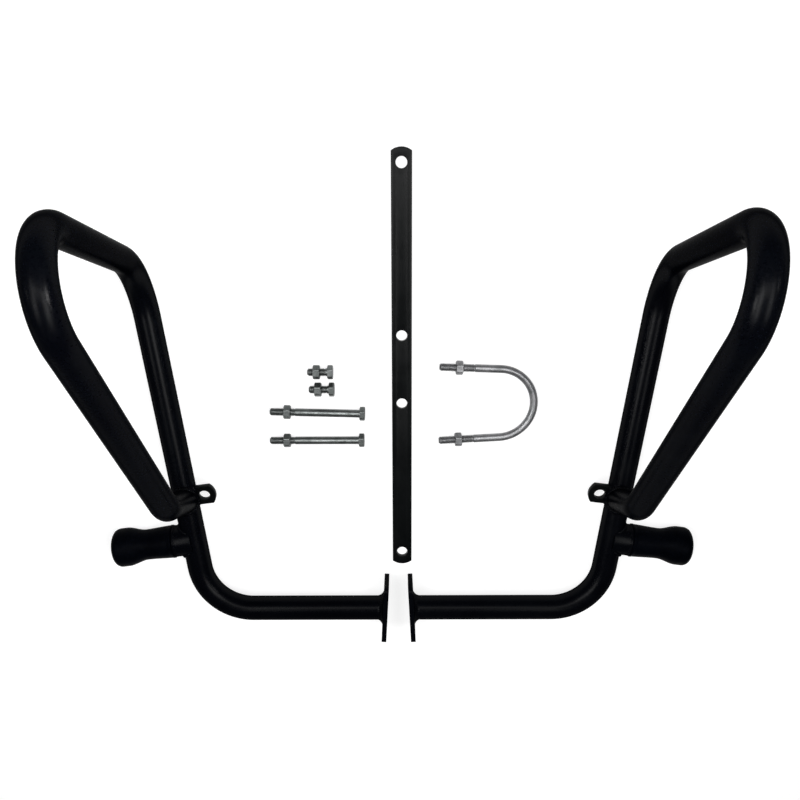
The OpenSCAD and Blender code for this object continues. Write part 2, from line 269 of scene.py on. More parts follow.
sleeve = {
    "bloom": (0.010, 0.011, 0.014),
    "deep": (0.0003, 0.0005, 0.0014),
    "worn": (0.0010, 0.0015, 0.0030),
    "gloss": (0.38, 0.52),
    "specular": 0.016,
}


def pegRubber():
    mat, tree, shader = newMaterial("pegRubber")
    shade = placeGroup(tree, clouds, **{"Scale": 30.0, "Fine Scale": 260.0, "Fine Share": 0.45})
    bloom = placeGroup(tree, clouds, **{"Scale": 75.0, "Fine Scale": 900.0, "Fine Share": 0.6})
    colour = mixColours(tree, rampOver(tree, shade.outputs[0], 0.36, 0.66), sleeve["deep"], sleeve["worn"])
    colour = mixColours(tree, rampOver(tree, bloom.outputs[0], 0.58, 0.8, 0.0, 0.3), colour, sleeve["bloom"])
    tree.links.new(colour, shader.inputs["Base Color"])
    tree.links.new(rampOver(tree, bloom.outputs[0], 0.4, 0.65, *sleeve["gloss"]), shader.inputs["Roughness"])
    shader.inputs["Specular IOR Level"].default_value = sleeve["specular"]
    addSkin(tree, shader, 0.35, 0.00012, **{"Scale": 2200.0, "Ripple Scale": 160.0, "Ripple": 0.5})
    return mat


plating = {
    "bright": (0.25, 0.265, 0.262),
    "dull": (0.15, 0.163, 0.160),
    "stain": (0.070, 0.080, 0.076),
    "rub": (0.5, 0.5, 0.5),
}


def zincPlate(name, tint, gloss):  # a dark tint is painted shade in a thread's root, a light one is newer plating
    mat, tree, shader = newMaterial(name)
    patches = placeGroup(tree, clouds, **{"Scale": 90.0, "Fine Scale": 700.0, "Fine Share": 0.5})
    stains = placeGroup(tree, clouds, **{"Scale": 240.0, "Fine Scale": 1500.0, "Fine Share": 0.5})
    rub = placeGroup(tree, edgeRub, **{"Width": 0.0003, "Scale": 900.0, "Amount": 0.6})
    dark = tuple(c * t for c, t in zip(plating["dull"], tint))
    light = tuple(c * t for c, t in zip(plating["bright"], tint))
    colour = mixColours(tree, rampOver(tree, patches.outputs[0], 0.35, 0.62), light, dark)
    colour = mixColours(tree, rampOver(tree, stains.outputs[0], 0.5, 0.75, 0.0, 0.7), colour, plating["stain"])
    colour = mixColours(tree, rub.outputs[0], colour, plating["rub"])
    tree.links.new(colour, shader.inputs["Base Color"])
    tree.links.new(rampOver(tree, stains.outputs[0], 0.35, 0.7, *gloss), shader.inputs["Roughness"])
    shader.inputs["Metallic"].default_value = 1.0
    addSkin(tree, shader, 0.15, 0.0001, **{"Scale": 2600.0, "Ripple Scale": 400.0, "Ripple": 0.6})
    return mat


finishes = {  # each with its slot; the bolts' zinc is older than the U-bolt's
    "paint": (blackPaint(), "black_paint"),
    "coat": (satinCoat(), "black_paint"),
    "rubber": (pegRubber(), "peg_rubber"),
    "zinc": (zincPlate("zincPlate", (1.0, 1.0, 1.0), (0.34, 0.50)), "zinc_plate"),
    # the two root finishes are darker zinc: painted shade in the threads' roots
    "root": (zincPlate("threadRootShade", (0.85, 0.85, 0.85), (0.40, 0.56)), "zinc_plate"),
    "newZinc": (zincPlate("newZinc", (1.65, 1.55, 1.62), (0.42, 0.56)), "zinc_plate"),
    "newRootShade": (zincPlate("newThreadRootShade", (1.5, 1.41, 1.47), (0.45, 0.60)), "zinc_plate"),
}
print("finishes made")

# Mesh helpers


def ringEdges(verts):
    ring = set(verts)
    near = dict.fromkeys(e for v in verts for e in v.link_edges)
    return [e for e in near if e.verts[0] in ring and e.verts[1] in ring]


def startRing(bm, matrix, radius, segments, filled=False):
    made = bmesh.ops.create_circle(bm, cap_ends=filled, segments=segments, radius=radius, matrix=matrix)
    return made["verts"]


def growRing(bm, edges):
    grown = bmesh.ops.extrude_edge_only(bm, edges=edges)["geom"]
    return [g for g in grown if isinstance(g, bmesh.types.BMVert)]


def sweep(bm, stations, radius, segments, closed=False):
    verts = startRing(bm, stations[0], radius, segments)
    edges = first = ringEdges(verts)
    for before, after in zip(stations, stations[1:]):
        verts = growRing(bm, edges)
        bmesh.ops.transform(bm, matrix=after @ before.inverted(), verts=verts)
        edges = ringEdges(verts)
    if closed:
        bmesh.ops.bridge_loops(bm, edges=first + edges)
    else:
        bmesh.ops.contextual_create(bm, geom=first)
        bmesh.ops.contextual_create(bm, geom=edges)


def spinProfile(bm, outline, segments):  # outline: (radius, height) from one end to the other
    verts = [bm.verts.new((r, 0, z)) for r, z in outline]
    edges = [bm.edges.new(pair) for pair in zip(verts, verts[1:])]
    bmesh.ops.spin(
        bm, geom=verts + edges, axis=(0, 0, 1), cent=(0, 0, 0), dvec=(0, 0, 0),
        angle=math.tau, steps=segments, use_merge=True, use_duplicate=False)
    bmesh.ops.remove_doubles(bm, verts=bm.verts[:], dist=1e-6)


def roundEdges(bm, width, segments=3, over=50):
    sharp = [e for e in bm.edges if len(e.link_faces) == 2 and e.calc_face_angle() > math.radians(over)]
    bmesh.ops.bevel(
        bm, geom=sharp, offset=width, offset_type="OFFSET", segments=segments, profile=0.5,
        affect="EDGES", clamp_overlap=True, material=-1)


def drillPlate(bm, holes, plate, around=64):  # turns a flat outline into a drilled plate with soft edges
    bmesh.ops.recalc_face_normals(bm, faces=bm.faces[:])
    bmesh.ops.dissolve_limit(bm, angle_limit=0.01, verts=bm.verts[:], edges=bm.edges[:])
    bmesh.ops.delete(bm, geom=bm.faces[:], context="FACES_ONLY")
    for x, y in holes:
        startRing(bm, Matrix.Translation((x, y, 0)), plate["holeR"], around)
    bmesh.ops.triangle_fill(bm, use_beauty=True, use_dissolve=False, edges=bm.edges[:])
    grown = bmesh.ops.extrude_face_region(bm, geom=bm.faces[:])["geom"]
    lifted = [g for g in grown if isinstance(g, bmesh.types.BMVert)]
    bmesh.ops.translate(bm, vec=(0, 0, plate["thickness"]), verts=lifted)
    bmesh.ops.recalc_face_normals(bm, faces=bm.faces[:])
    roundEdges(bm, plate["rounding"])


def barEnd(bm, length, width, endR, around=160):  # flat bar along x from 0, its far end cut from a disc
    middle = length - endR
    startRing(bm, Matrix.Translation((middle, 0, 0)), endR, around, filled=True)
    cuts = (((middle, 0, 0), (-1, 0, 0)), ((0, width / 2, 0), (0, 1, 0)), ((0, -width / 2, 0), (0, -1, 0)))
    for point, normal in cuts:
        bmesh.ops.bisect_plane(
            bm, geom=bm.verts[:] + bm.edges[:] + bm.faces[:], dist=1e-7,
            plane_co=point, plane_no=normal, clear_outer=True)
    back = [e for e in bm.edges if all(abs(v.co.x - middle) < 1e-6 for v in e.verts)]
    bmesh.ops.translate(bm, vec=(-middle, 0, 0), verts=growRing(bm, back))


def routeThrough(points, closed=False):  # stations with an untwisted frame through points
    count = len(points)
    stations, turn, heading = [], None, None
    for i, point in enumerate(points):
        ahead = points[(i + 1) % count] if closed or i < count - 1 else point
        behind = points[i - 1] if closed or i > 0 else point
        now = (ahead - behind).normalized()
        turn = now.to_track_quat("Z", "Y") if turn is None else heading.rotation_difference(now) @ turn
        heading = now
        stations.append(Matrix.Translation(point) @ turn.to_matrix().to_4x4())
    return stations


def spaceOut(points, step, closed=False):  # the same path at even steps
    path = list(points) + ([points[0]] if closed else [])
    lengths = [0.0]
    for a, b in zip(path, path[1:]):
        lengths.append(lengths[-1] + (b - a).length)
    count = max(4, round(lengths[-1] / step))
    even, k = [], 0
    for i in range(count + (0 if closed else 1)):
        reach = lengths[-1] * i / count
        while k < len(path) - 2 and lengths[k + 1] < reach:
            k += 1
        share = (reach - lengths[k]) / max(lengths[k + 1] - lengths[k], 1e-9)
        even.append(path[k].lerp(path[k + 1], min(share, 1)))
    return even


bead = {
    "pitch": 0.0021,  # from one ripple to the next
    "depth": 0.16,  # how far a ripple's valley draws in
    "steps": 6,  # rings on each ripple
    "segments": 12,
    "endSize": 0.45,  # an open bead's end against its middle
    "runIn": 0.003,  # length over which it grows from that
}


def weldBead(bm, points, radius, closed=False):
    step = bead["pitch"] / bead["steps"]
    even = spaceOut(points, step, closed)
    stations = routeThrough(even, closed)
    for i, station in enumerate(stations):
        swell = 1 - bead["depth"] * (1 - abs(math.sin(math.pi * i / bead["steps"])))
        if not closed:
            near = min(i, len(stations) - 1 - i) * step
            swell *= min(1, bead["endSize"] + (1 - bead["endSize"]) * near / bead["runIn"])
        stations[i] = station @ Matrix.Scale(swell, 4)
    sweep(bm, stations, radius, bead["segments"], closed)


def finishPiece(name, bm, finish, replaced, place, sharp=35, also=()):
    bmesh.ops.transform(bm, matrix=place, verts=bm.verts[:])
    bmesh.ops.remove_doubles(bm, verts=bm.verts[:], dist=1e-6)
    bmesh.ops.recalc_face_normals(bm, faces=bm.faces[:])
    for face in bm.faces:
        face.smooth = True
    for edge in bm.edges:
        if len(edge.link_faces) == 2 and edge.calc_face_angle(0) > math.radians(sharp):
            edge.smooth = False
    mesh = bpy.data.meshes.new(name)
    bm.to_mesh(mesh)
    bm.free()
    for key in (finish, *also):
        mesh.materials.append(finishes[key][0])
    piece = placeObject(name, mesh)
    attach(piece, "root")
    if replaced:
        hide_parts(replaced)


# Tubes. Corners are a right bar's before it is laid down: out, up, and above the lower tube.

bar = {
    "tubeR": 0.0127,
    "reach": 0.207,
    "mainRise": 0.362,
    "mainLean": 0.047,
    "crown": (0.031, 0.4335, 0.336),  # out, up and above the lower corner
    "knee": (0.007, 0.153, 0.098),
    "legRise": 0.122,
    "bendR": (0.055, 0.063, 0.048, 0.036),
    "flattening": 0.018,  # how much a bend's middle is squashed
    "segments": 64,
    "drop": 0.257,  # from the strap's middle down to the lower tubes
    "gap": 0.023,  # between the flanges
    "gapOffset": 0.004,
    "footBead": 0.0027,
}

lowerCorner = Vector((bar["reach"], 0, 0))
topCorner = lowerCorner + Vector((bar["mainLean"], bar["mainRise"], 0))
crownCorner = lowerCorner + Vector(bar["crown"])
kneeCorner = lowerCorner + Vector(bar["knee"])
mainDir = (topCorner - lowerCorner).normalized()
topDir = (crownCorner - topCorner).normalized()


def onMain(rise):
    return lowerCorner + mainDir * rise / mainDir.y


def mainFrame(rise):  # x points out from the bike, y along the main tube
    return Matrix.Translation(onMain(rise)) @ Matrix.Rotation(-math.atan2(mainDir.x, mainDir.y), 4, "Z")


def tubeStart(side):
    return bar["gap"] / 2 + flange["thickness"] - side * bar["gapOffset"]


def setback(before, after, radius):
    return radius * math.tan(before.angle(after) / 2)


def layBar(side):  # a bar lies on the main tube's top end and on its peg's rim
    rimY = peg["rise"] - (peg["reach"] - peg["roundR"]) * mainDir.x
    touchY = bar["mainRise"] - setback(mainDir, topDir, bar["bendR"][1]) * mainDir.y
    tilt = math.atan((peg["endR"] - bar["tubeR"]) / (touchY - rimY))
    height = bar["tubeR"] / math.cos(tilt) + touchY * math.tan(tilt)
    turn = Matrix.Rotation(-tilt, 4, "X") @ Matrix.Diagonal((side, 1, 1, 1))
    return Matrix.Translation((0, -bar["drop"], height)) @ turn


def tubeStations(side):
    corners = [Vector((tubeStart(side) - flange["thickness"] / 2, 0, 0)), lowerCorner, topCorner,
               crownCorner, kneeCorner, onMain(bar["legRise"])]
    heading = (corners[1] - corners[0]).normalized()
    pose = heading.to_track_quat("Z", "Y").to_matrix().to_4x4()
    stations = [Matrix.Translation(corners[0]) @ pose]
    for i, radius in enumerate(bar["bendR"]):
        before = (corners[i + 1] - corners[i]).normalized()
        after = (corners[i + 2] - corners[i + 1]).normalized()
        angle = before.angle(after)
        start = corners[i + 1] - before * setback(before, after, radius)
        last = stations[-1].translation.copy()
        for share in (0.25, 0.5, 0.75):
            stations.append(Matrix.Translation(last.lerp(start, share)) @ pose)
        inward = (after - after.dot(before) * before).normalized()
        axis = before.cross(after).normalized()
        centre = start + inward * radius
        steps = max(10, round(math.degrees(angle) / 3))
        for k in range(steps + 1):
            turn = Matrix.Rotation(angle * k / steps, 4, axis)
            squash = bar["flattening"] * math.sin(math.pi * k / steps)
            radial = turn.to_3x3() @ inward
            place = centre + turn.to_3x3() @ (start - centre)
            stations.append(Matrix.Translation(place) @ Matrix.Scale(1 - squash, 4, radial)
                            @ Matrix.Scale(1 + squash / 2, 4, axis) @ turn @ pose)
        pose = Matrix.Rotation(angle, 4, axis) @ pose
    stations.append(Matrix.Translation(corners[-1]) @ pose)
    return stations


def makeTube(side, word):
    bm = bmesh.new()
    sweep(bm, tubeStations(side), bar["tubeR"], bar["segments"])
    finishPiece(word + "Tube", bm, "paint", word + "_tube", layBar(side))


def footPath(count=180, rounds=6):  # where the leg's surface meets the main tube's, smoothed a little
    foot, radius = onMain(bar["legRise"]), bar["tubeR"]
    legDir = (foot - kneeCorner).normalized()
    across = legDir.cross(mainDir).normalized()
    up = across.cross(legDir)
    flat = legDir - legDir.dot(mainDir) * mainDir
    points = []
    for k in range(count):
        a = math.tau * k / count
        rim = radius * (math.cos(a) * across + math.sin(a) * up)
        q = rim - rim.dot(mainDir) * mainDir
        half = q.dot(flat)
        root = math.sqrt(max(0, half * half - flat.length_squared * (q.length_squared - radius * radius)))
        points.append(foot + rim - legDir * (half + root) / flat.length_squared)
    for _ in range(rounds):
        points = [(points[i - 1] + 2 * p + points[(i + 1) % count]) / 4 for i, p in enumerate(points)]
    return points


def makeFootWeld(side, word):
    bm = bmesh.new()
    weldBead(bm, footPath(), bar["footBead"], closed=True)
    finishPiece(word + "FootWeld", bm, "paint", None, layBar(side), sharp=60)


# Flanges and their fillet welds

flange = {
    "thickness": 0.005,
    "length": 0.064,
    "depth": 0.040,
    "cornerR": 0.006,
    "pitch": 0.046,
    "holeR": 0.0045,
    "toe": 3.0,  # degrees
    "rounding": 0.0008,
}
fillet = {
    "leg": 0.0055,
    "segments": 260,
    "rings": 9,
    "rippleHeight": 0.00032,
    "ripples": 20,
    "rippleLean": 0.9,
    "sunkInTube": 0.0006,
    "sunkInFlange": 0.001,
}


def flangeFrame(side):
    return Matrix.Translation((tubeStart(side), 0, 0)) @ Matrix.Rotation(math.radians(flange["toe"]), 4, "Z")


def makeFlange(side, word):
    bm = bmesh.new()
    bmesh.ops.create_grid(
        bm, x_segments=1, y_segments=1, size=0.5,
        matrix=Matrix.Diagonal((flange["length"], flange["depth"], 1, 1)))
    bmesh.ops.bevel(
        bm, geom=bm.verts[:], offset=flange["cornerR"], offset_type="OFFSET", segments=8, profile=0.5,
        affect="VERTICES", clamp_overlap=True, material=-1)
    drillPlate(bm, [(end * flange["pitch"] / 2, 0) for end in (-1, 1)], flange)
    stand = Matrix(((0, 0, -1, 0), (1, 0, 0, 0), (0, -1, 0, 0), (0, 0, 0, 1)))
    finishPiece(word + "Flange", bm, "paint", word + "_flange", layBar(side) @ flangeFrame(side) @ stand)


def makeFlangeWeld(side, word):  # concave fillet with ripples round the tube
    bm = bmesh.new()
    leg, tubeR = fillet["leg"], bar["tubeR"]
    rise = Matrix.Rotation(math.radians(90), 4, "Y")
    verts = startRing(
        bm, rise @ Matrix.Translation((0, 0, leg)), tubeR - fillet["sunkInTube"], fillet["segments"])
    edges = ringEdges(verts)
    for k in range(fillet["rings"] + 1):
        a = math.radians(90) * k / fillet["rings"]
        along, out = leg * (1 - math.sin(a)), tubeR + leg * (1 - math.cos(a))
        verts = growRing(bm, edges)
        edges = ringEdges(verts)
        for vert in verts:
            angle = math.atan2(vert.co.z, vert.co.y)
            wave = abs(math.sin(angle * fillet["ripples"] + a * fillet["rippleLean"]))
            ripple = fillet["rippleHeight"] * wave * math.sin(2 * a)
            reach = out + ripple
            vert.co = (along + ripple, math.cos(angle) * reach, math.sin(angle) * reach)
    for vert in growRing(bm, edges):
        vert.co.x = -fillet["sunkInFlange"]
    finishPiece(word + "FlangeWeld", bm, "paint", None, layBar(side) @ flangeFrame(side), sharp=70)


# Tabs

tab = {
    "width": 0.022,
    "thickness": 0.005,
    "reach": 0.032,
    "holeReach": 0.0205,
    "holeR": 0.0055,
    "rise": 0.127,
    "tilt": 16.0,  # degrees
    "endR": 0.016,
    "rounding": 0.0006,
    "bead": 0.0019,
}


def tabFrame():
    turn = Matrix.Rotation(math.pi, 4, "Z") @ Matrix.Rotation(math.radians(-tab["tilt"]), 4, "X")
    return mainFrame(tab["rise"]) @ turn


def makeTab(side, word):
    bm = bmesh.new()
    barEnd(bm, tab["reach"], tab["width"], tab["endR"])
    drillPlate(bm, [(tab["holeReach"], 0)], tab)
    place = layBar(side) @ tabFrame() @ Matrix.Translation((0, 0, -tab["thickness"] / 2))
    finishPiece(word + "Tab", bm, "coat", word + "_tab", place)


def makeTabWelds(side, word, steps=23):
    bm = bmesh.new()
    lean = math.radians(tab["tilt"])
    for face in (-1, 1):
        points = []
        for k in range(steps + 1):
            y = (k / steps - 0.5) * (tab["width"] + 0.001)
            z = face * tab["thickness"] / 2 / math.cos(lean) - y * math.tan(lean)
            points.append(Vector((math.sqrt(bar["tubeR"] ** 2 - z * z), y, z)))
        weldBead(bm, points, tab["bead"])
    frameHere = mainFrame(tab["rise"]) @ Matrix.Rotation(math.pi, 4, "Z")
    finishPiece(word + "TabWelds", bm, "paint", None, layBar(side) @ frameHere, sharp=60)


# Foot pegs

peg = {
    "rise": 0.080,
    "reach": 0.083,
    "stubR": 0.011,
    "collarR": 0.0165,
    "collarReach": 0.020,
    "collarEdge": 0.0009,
    "groove": ((0, -0.0036), (-0.0005, -0.0031), (-0.0005, -0.0026), (0, -0.0021)),  # in the collar
    "bead": 0.0022,
    "rubberEnd": 0.006,
    "footR": 0.017,
    "lip": ((-0.0006, 0.0001), (0.0002, 0.0008), (0.0003, 0.0024), (-0.0001, 0.0031)),  # at the foot
    "lipReach": 0.0036,
    "waistR": 0.01575,
    "endR": 0.020,
    "waistReach": 0.050,
    "swell": 0.020,
    "roundR": 0.007,
    "dish": ((0.0105, 0), (0.0100, -0.0002), (0.0094, -0.0009), (0.0088, -0.0011), (0, -0.0008)),  # at its end
    "partingLine": 0.00022,
    "segments": 96,
}


def pegFrame():
    return mainFrame(peg["rise"]) @ Matrix.Rotation(math.radians(90), 4, "Y")


def makeStub(side, word):  # collar with turned edges, and the stub that the rubber hides
    bm = bmesh.new()
    wide, out, soft = peg["collarR"], peg["collarReach"], peg["collarEdge"]
    end = peg["reach"] - peg["rubberEnd"]
    quarter = (0.4, 0.8, 1.2, math.pi / 2)
    outline = [(0, 0), (wide - soft, 0)]
    outline += [(wide - soft + soft * math.sin(a), soft - soft * math.cos(a)) for a in quarter]
    outline += [(wide + r, out + z) for r, z in peg["groove"]]
    outline += [(wide - soft + soft * math.cos(a), out - soft + soft * math.sin(a)) for a in (0, *quarter)]
    outline += [(peg["stubR"], out), (peg["stubR"], end), (0, end)]
    spinProfile(bm, outline, peg["segments"])
    finishPiece(word + "PegStub", bm, "paint", word + "_peg_stub", layBar(side) @ pegFrame())


def makeStubWelds(side, word, steps=39):
    bm = bmesh.new()
    wide, tubeR = peg["collarR"], bar["tubeR"]
    limit = math.asin(tubeR / wide) * 0.97  # just short of where the collar leaves the tube
    for end in (-1, 1):
        points = []
        for k in range(steps + 1):
            a = limit * (2 * k / steps - 1)
            z = wide * math.sin(a)
            points.append(Vector((math.sqrt(tubeR ** 2 - z * z), end * wide * math.cos(a), z)))
        weldBead(bm, points, peg["bead"])
    finishPiece(word + "PegWelds", bm, "paint", None, layBar(side) @ mainFrame(peg["rise"]), sharp=60)


def ease(x, a, b):
    t = max(0, min(1, (x - a) / (b - a)))
    return t * t * (3 - 2 * t)


def makeRubber(side, word, rings=30, roundRings=12):
    bm = bmesh.new()
    out, reach, soft = peg["collarReach"], peg["reach"], peg["roundR"]
    outline = [(peg["stubR"], out + 0.0001)]
    outline += [(peg["footR"] + r, out + z) for r, z in peg["lip"]]
    start, shoulder = out + peg["lipReach"], reach - soft
    for k in range(1, rings + 1):
        x = start + (shoulder - start) * k / rings
        r = peg["waistR"] + (peg["footR"] - peg["waistR"]) * (1 - ease(x, out, peg["waistReach"]))
        r += (peg["endR"] - peg["waistR"]) * ease(x, peg["waistReach"], peg["waistReach"] + peg["swell"])
        outline.append((r, x))
    for k in range(1, roundRings + 1):
        a = math.radians(90) * k / roundRings
        outline.append((peg["endR"] - soft * (1 - math.cos(a)), shoulder + soft * math.sin(a)))
    outline += [(r, reach + z) for r, z in peg["dish"]]
    spinProfile(bm, outline, peg["segments"])
    for vert in bm.verts:  # the mould's parting line
        radial = math.hypot(vert.co.x, vert.co.y)
        if abs(vert.co.x) < 1e-5 and radial > peg["stubR"] + 0.001:
            vert.co.y *= 1 + peg["partingLine"] / radial
    finishPiece(word + "PegRubber", bm, "rubber", word + "_peg_rubber", layBar(side) @ pegFrame(), sharp=42)


for side, word in ((-1, "left"), (1, "right")):
    makeTube(side, word)
    makeFootWeld(side, word)
    makeFlange(side, word)
    makeFlangeWeld(side, word)
    makeTab(side, word)
    makeTabWelds(side, word)
    makeStub(side, word)
    makeStubWelds(side, word)
    makeRubber(side, word)
    print(word, "bar made")

# Strap

strap = {
    "span": 0.400,
    "middlePitch": 0.070,
    "margin": 0.014,
    "width": 0.020,
    "thickness": 0.005,
    "endR": 0.016,
    "holeR": 0.0055,
    "rounding": 0.0006,
}


def makeStrap():
    bm = bmesh.new()
    half = strap["span"] / 2 + strap["margin"]
    barEnd(bm, half, strap["width"], strap["endR"])
    bmesh.ops.mirror(
        bm, geom=bm.verts[:] + bm.edges[:] + bm.faces[:], matrix=Matrix(), merge_dist=1e-6, axis="X")
    reaches = (strap["span"] / 2, strap["middlePitch"] / 2)
    drillPlate(bm, [(end * reach, 0) for reach in reaches for end in (-1, 1)], strap)
    finishPiece("strap", bm, "coat", "centre_strap", Matrix.Rotation(math.radians(90), 4, "Z"))


makeStrap()
print("strap made")

# Bolts and nuts. A bolt's shank runs up z from under its head.

rod = {
    "radius": 0.004,
    "ease": 0.00002,
    "neck": ((0.0006, -0.001), (0.0006, 0), (0.0002, 0.0002)),  # fillet under a head
    "neckReach": 0.0007,
    "segments": 64,
}
thread = {
    "pitch": 0.00125,
    "crestR": 0.00398,
    "rootR": 0.00334,
    "baseR": 0.00324,  # a ridge's base, sunk in the root
    "baseShare": 0.94,  # of the pitch that the base takes
    "crestShare": 0.16,
    "leadIn": 0.0008,  # slope from the plain shank down to the root
    "steps": 26,  # to a turn
    "runOut": 0.001875,  # length over which it fades in at its start
    "turnDown": 0.0009,  # and down at its end
    "endGap": 0.0004,
    "point": ((0, -0.0012), (-0.0006, -0.0002), (-0.0008, 0)),  # the shank's end, from the root and the end
}
hexagon = {
    "flats": 0.013,
    "headH": 0.0055,
    "nutH": 0.0068,
    "segments": 96,
    "turnDown": 30.0,  # degrees
    "cornerWear": 0.00018,
    "rimInset": 0.0001,
    "bearing": 0.0004,  # height of the round face under a head
    "countersink": 0.0006,
    "boreEase": 0.00005,
}
hexRim = hexagon["flats"] / 2 - hexagon["rimInset"]


def hexRadius(angle):
    step = math.radians(60)
    turned = (angle + step / 2) % step - step / 2
    corner = hexagon["flats"] / 2 / math.cos(math.radians(30)) - hexagon["cornerWear"]
    return min(hexagon["flats"] / 2 / math.cos(turned), corner)


def hexRing(bm, edges, level, chamfer):  # chamfer: 1 or -1 for a face turned down above or below, 0 for none
    verts = growRing(bm, edges)
    for vert in verts:
        angle = math.atan2(vert.co.y, vert.co.x)
        r = hexRadius(angle)
        drop = max(0, r - hexRim) * math.tan(math.radians(hexagon["turnDown"])) + hexagon["rimInset"]
        vert.co = (math.cos(angle) * r, math.sin(angle) * r, level - chamfer * drop)
    return ringEdges(verts)


def roundRing(bm, edges, radius, level):
    verts = growRing(bm, edges)
    for vert in verts:
        angle = math.atan2(vert.co.y, vert.co.x)
        vert.co = (math.cos(angle) * radius, math.sin(angle) * radius, level)
    return ringEdges(verts)


def addHead(bm):  # its bearing face at z = 0 and its top below
    top, face = -hexagon["headH"], hexagon["bearing"]
    verts = startRing(bm, Matrix.Translation((0, 0, top)), hexRim - face, hexagon["segments"], filled=True)
    edges = roundRing(bm, ringEdges(verts), hexRim, top + 0.00005)
    edges = hexRing(bm, edges, top, -1)
    edges = hexRing(bm, edges, -face, 0)
    edges = roundRing(bm, edges, hexRim - 0.0003, -face)
    edges = roundRing(bm, edges, hexRim - face, 0)
    edges = roundRing(bm, edges, rod["radius"] - 0.0005, 0)
    bmesh.ops.contextual_create(bm, geom=edges)


def addNut(bm, middle):
    low, high = middle - hexagon["nutH"] / 2, middle + hexagon["nutH"] / 2
    bore, sink = rod["radius"] + hexagon["boreEase"], hexagon["countersink"]
    verts = startRing(bm, Matrix.Translation((0, 0, low + sink)), bore, hexagon["segments"])
    first = edges = ringEdges(verts)
    edges = roundRing(bm, edges, bore + sink, low)
    edges = roundRing(bm, edges, hexRim, low)
    edges = hexRing(bm, edges, low, -1)
    edges = hexRing(bm, edges, high, 1)
    edges = roundRing(bm, edges, hexRim, high)
    edges = roundRing(bm, edges, bore + sink, high)
    edges = roundRing(bm, edges, bore, high - sink)
    bmesh.ops.bridge_loops(bm, edges=first + edges)


def addThread(bm, start, end):  # a helical ridge round z, fading in at its start and turned down at its end
    half, base = thread["pitch"] / 2, thread["baseR"]
    steps = round((end - start - thread["pitch"]) / thread["pitch"] * thread["steps"])
    foot, crest = half * thread["baseShare"], half * thread["crestShare"]
    tooth = ((base, -foot), (thread["crestR"], -crest), (thread["crestR"], crest), (base, foot))
    before = set(bm.verts)
    verts = [bm.verts.new((r, 0, start + half + z)) for r, z in tooth]
    edges = [bm.edges.new((verts[i], verts[(i + 1) % 4])) for i in range(4)]
    bmesh.ops.spin(
        bm, geom=verts + edges, axis=(0, 0, 1), cent=(0, 0, 0), dvec=(0, 0, thread["pitch"] / thread["steps"]),
        angle=math.tau * steps / thread["steps"], steps=steps, use_merge=False, use_duplicate=False)
    made = [v for v in bm.verts if v not in before]
    for vert in made:
        r = math.hypot(vert.co.x, vert.co.y)
        room = min((vert.co.z - start) / thread["runOut"], (end - vert.co.z) / thread["turnDown"], 1)
        fitted = base + (r - base) * max(0.05, room)
        vert.co.x *= fitted / r
        vert.co.y *= fitted / r
    ends = dict.fromkeys(e for v in made for e in v.link_edges if len(e.link_faces) == 1)
    bmesh.ops.holes_fill(bm, edges=list(ends), sides=4)


def markRoots(bm, frames):  # the thread's roots take the second finish, a darker zinc that is painted shade in them
    inward = [lay.inverted() for lay in frames]
    for face in bm.faces:
        reach = max(min((lay @ v.co).xy.length for lay in inward) for v in face.verts)
        if reach < thread["rootR"] + 0.00004:
            face.material_index = 1


def addShank(bm, length, threadL):
    root, wide, plain = thread["rootR"], rod["radius"], rod["radius"] - rod["ease"]
    top = length - threadL
    outline = [(0, rod["neck"][0][1])]
    outline += [(wide + r, z) for r, z in rod["neck"]]
    outline += [(plain, rod["neckReach"]), (plain, top), (root, top + thread["leadIn"])]
    outline += [(root + r, length + z) for r, z in thread["point"]]
    spinProfile(bm, outline + [(0, length)], rod["segments"])
    addThread(bm, top, length - thread["endGap"])


bolts = {  # under-head point, turn, length, thread, and from the end to the nut's middle
    "upperLong": (-0.043, -0.045, 1.5, 0.091, 0.026, 0.0175),
    "lowerLong": (-0.044, -0.0735, 0.0, 0.091, 0.026, 0.0175),
    "upperShort": (-0.0745, -0.0015, 0.0, 0.020, 0.0185, 0.009),
    "lowerShort": (-0.0735, -0.0195, 0.0, 0.020, 0.0185, 0.009),
}


def boltFrame(x, y, turn):
    stand = Matrix.Rotation(math.radians(-turn), 4, "Z") @ Matrix.Rotation(math.radians(-90), 4, "Y")
    return Matrix.Translation((x, y, hexagon["flats"] / 2)) @ stand


def makeBolt(name, x, y, turn, length, threadL, nutSetback):
    node = name.replace("Long", "_long").replace("Short", "_short")
    bm = bmesh.new()
    addShank(bm, length, threadL)
    markRoots(bm, [Matrix()])
    addHead(bm)
    finishPiece(name + "Bolt", bm, "zinc", node + "_bolt", boltFrame(x, y, turn), sharp=28, also=["root"])
    bm = bmesh.new()
    addNut(bm, length - nutSetback)
    finishPiece(name + "Nut", bm, "zinc", node + "_nut", boltFrame(x, y, turn), sharp=28)


for name, values in bolts.items():
    makeBolt(name, *values)
print("bolts and nuts made")

# U-bolt, which lies on its bow and its nuts

uBolt = {
    "bowR": 0.036,
    "leg": 0.062,
    "splay": 2.5,  # degrees
    "threadL": 0.036,
    "nutSetback": 0.020,
    "place": (0.098, -0.035),
    "draw": 0.00006,  # what its bow has lost in radius
    "bowSteps": 48,
    "segments": 40,
}


def uBoltFrame():
    nutX = -(uBolt["leg"] - uBolt["nutSetback"]) * math.cos(math.radians(uBolt["splay"]))
    low = rod["radius"] - uBolt["draw"]
    tilt = math.asin((hexagon["flats"] / 2 - low) / (uBolt["bowR"] - nutX - hexagon["nutH"] / 2))
    height = low + uBolt["bowR"] * math.sin(tilt)
    return Matrix.Translation((*uBolt["place"], height)) @ Matrix.Rotation(tilt, 4, "Y")


